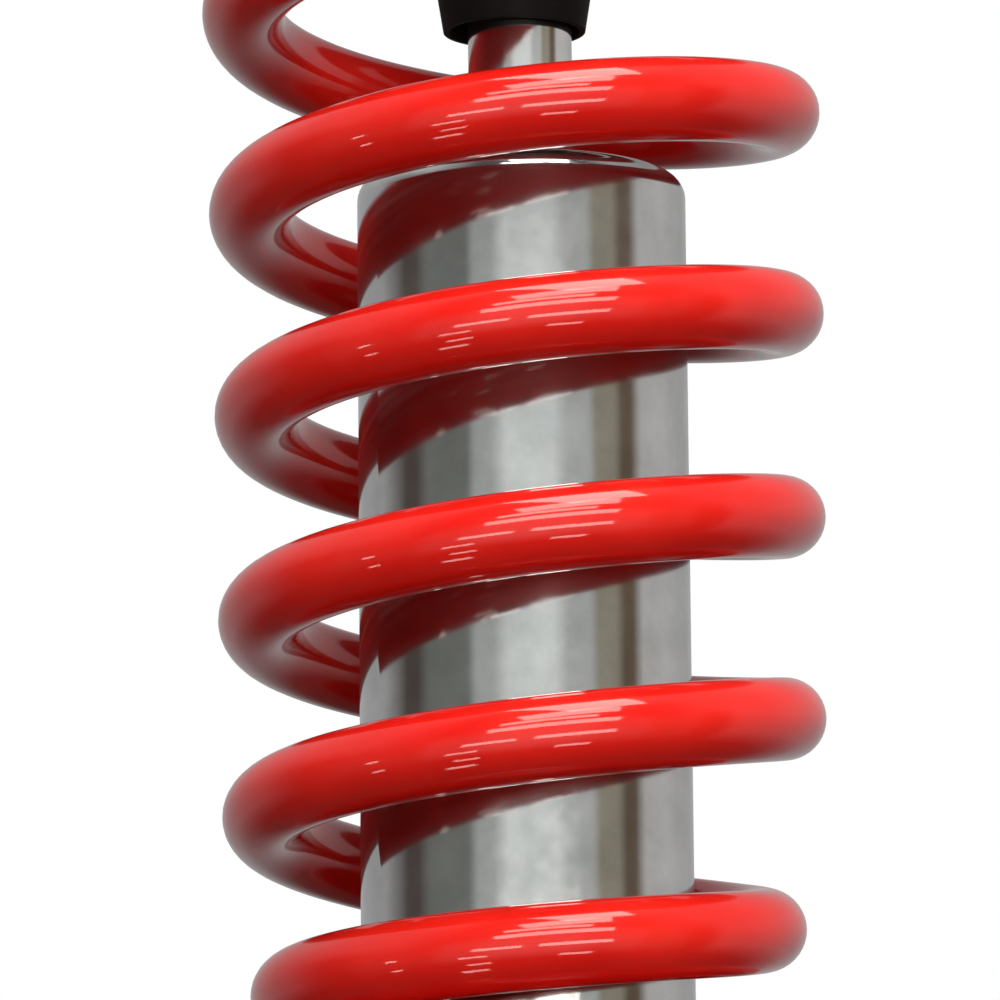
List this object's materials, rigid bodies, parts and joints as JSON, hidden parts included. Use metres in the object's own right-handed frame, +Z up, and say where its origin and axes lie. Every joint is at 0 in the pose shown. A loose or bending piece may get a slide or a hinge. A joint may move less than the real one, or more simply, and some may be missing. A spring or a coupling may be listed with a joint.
{
  "type": "coilover",
  "caption": "Coilover suspension strut: twin-tube damper with threaded spring seat inside a tapered red coil spring, bump stop on the chromed rod, spherical bearing eyes at both ends.",
  "frame": {"origin": "centre of the lower bolt bore, on the axis of the piston rod", "axes": "+Z up along the piston rod to the upper eye, +Y along both bolt bores, +X across"},
  "size_m": [0.102, 0.102, 0.476],
  "materials": {
    "plated_steel": "polished and zinc plated, with soft vertical reflections",
    "machined_steel": "machined and plated, satin",
    "drawn_steel": "drawn tube, satin",
    "bearing_steel": "ground and honed",
    "spring_steel": "phosphated spring steel strip",
    "hard_chrome": "hard chromed and ground",
    "sintered_iron": "sintered, matte",
    "bronze": "bronze bush",
    "anodised_aluminium": "machined and clear anodised",
    "red_powder_coat": "glossy red powder coat",
    "black_rubber": "moulded rubber",
    "black_foam": "microcellular polyurethane, matte",
    "nylon": "natural nylon",
    "ptfe": "filled PTFE band"
  },
  "bodies": {
    "damper_body": {"body_tube": "plated_steel", "base_eye": "machined_steel", "base_o_ring": "black_rubber", "lower_bearing_race": "bearing_steel", "lower_retaining_rings": "spring_steel", "pressure_tube": "drawn_steel", "foot_valve_body": "sintered_iron", "foot_valve_disc": "spring_steel", "foot_valve_bolt": "machined_steel", "rod_guide": "sintered_iron", "guide_bush": "bronze", "rod_seal": "black_rubber", "dust_wiper": "black_rubber"},
    "lower_ball": {"lower_ball": "hard_chrome"},
    "lower_spacers": {"lower_spacers": "plated_steel"},
    "spring_seat": {"lower_spring_seat": "anodised_aluminium", "thrust_washer": "nylon", "spring": "red_powder_coat"},
    "adjuster_nut": {"adjuster_nut": "anodised_aluminium"},
    "lock_nut": {"lock_nut": "anodised_aluminium"},
    "upper_seat": {"upper_spring_seat": "anodised_aluminium", "bump_stop": "black_foam", "bump_stop_cup": "machined_steel"},
    "rod": {"piston_rod": "hard_chrome", "rebound_stop_ring": "machined_steel", "rebound_bumper": "black_rubber", "compression_shims": "spring_steel", "piston": "sintered_iron", "piston_band": "ptfe", "rebound_shims": "spring_steel", "piston_nut": "machined_steel", "jam_nut": "machined_steel", "rod_eye": "machined_steel", "upper_bearing_race": "bearing_steel", "upper_retaining_rings": "spring_steel"},
    "upper_ball": {"upper_ball": "hard_chrome"},
    "upper_spacers": {"upper_spacers": "plated_steel"}
  },
  "joints": [
    {"name": "height_adjust", "type": "slide", "parent": "damper_body", "child": "spring_seat", "axis": [0, 0, 1], "range_m": [-0.01, 0.01]},
    {"name": "adjuster_turn", "type": "hinge", "parent": "spring_seat", "child": "adjuster_nut", "pos_m": [0, 0, 0.104], "axis": [0, 0, 1], "range_deg": [-1810, 1810]},
    {"name": "lock_turn", "type": "hinge", "parent": "spring_seat", "child": "lock_nut", "pos_m": [0, 0, 0.0925], "axis": [0, 0, 1], "range_deg": [-1810, 1810]},
    {"name": "stroke", "type": "slide", "parent": "spring_seat", "child": "upper_seat", "axis": [0, 0, 1], "range_m": [-0.05, 0], "stiffness_N_per_m": 68500, "springref_m": 0.001, "deforming": ["spring", "bump_stop"]},
    {"name": "rod_turn", "type": "hinge", "parent": "upper_seat", "child": "rod", "pos_m": [0, 0, 0.38], "axis": [0, 0, 1], "continuous": true},
    {"name": "upper_tilt", "type": "hinge", "parent": "rod", "child": "upper_ball", "pos_m": [0, 0, 0.428], "axis": [1, 0, 0], "range_deg": [-12, 12]},
    {"name": "upper_swing", "type": "hinge", "parent": "upper_ball", "child": "upper_spacers", "pos_m": [0, 0, 0.428], "axis": [0, 1, 0], "continuous": true},
    {"name": "lower_tilt", "type": "hinge", "parent": "damper_body", "child": "lower_ball", "pos_m": [0, 0, 0], "axis": [1, 0, 0], "range_deg": [-12, 12]},
    {"name": "lower_swing", "type": "hinge", "parent": "lower_ball", "child": "lower_spacers", "pos_m": [0, 0, 0], "axis": [0, 1, 0], "continuous": true}
  ],
  "couplings": [
    {"joint": "adjuster_turn", "follows": "height_adjust", "rad_per_m": 3141.6},
    {"joint": "lock_turn", "follows": "height_adjust", "rad_per_m": 3141.6}
  ]
}
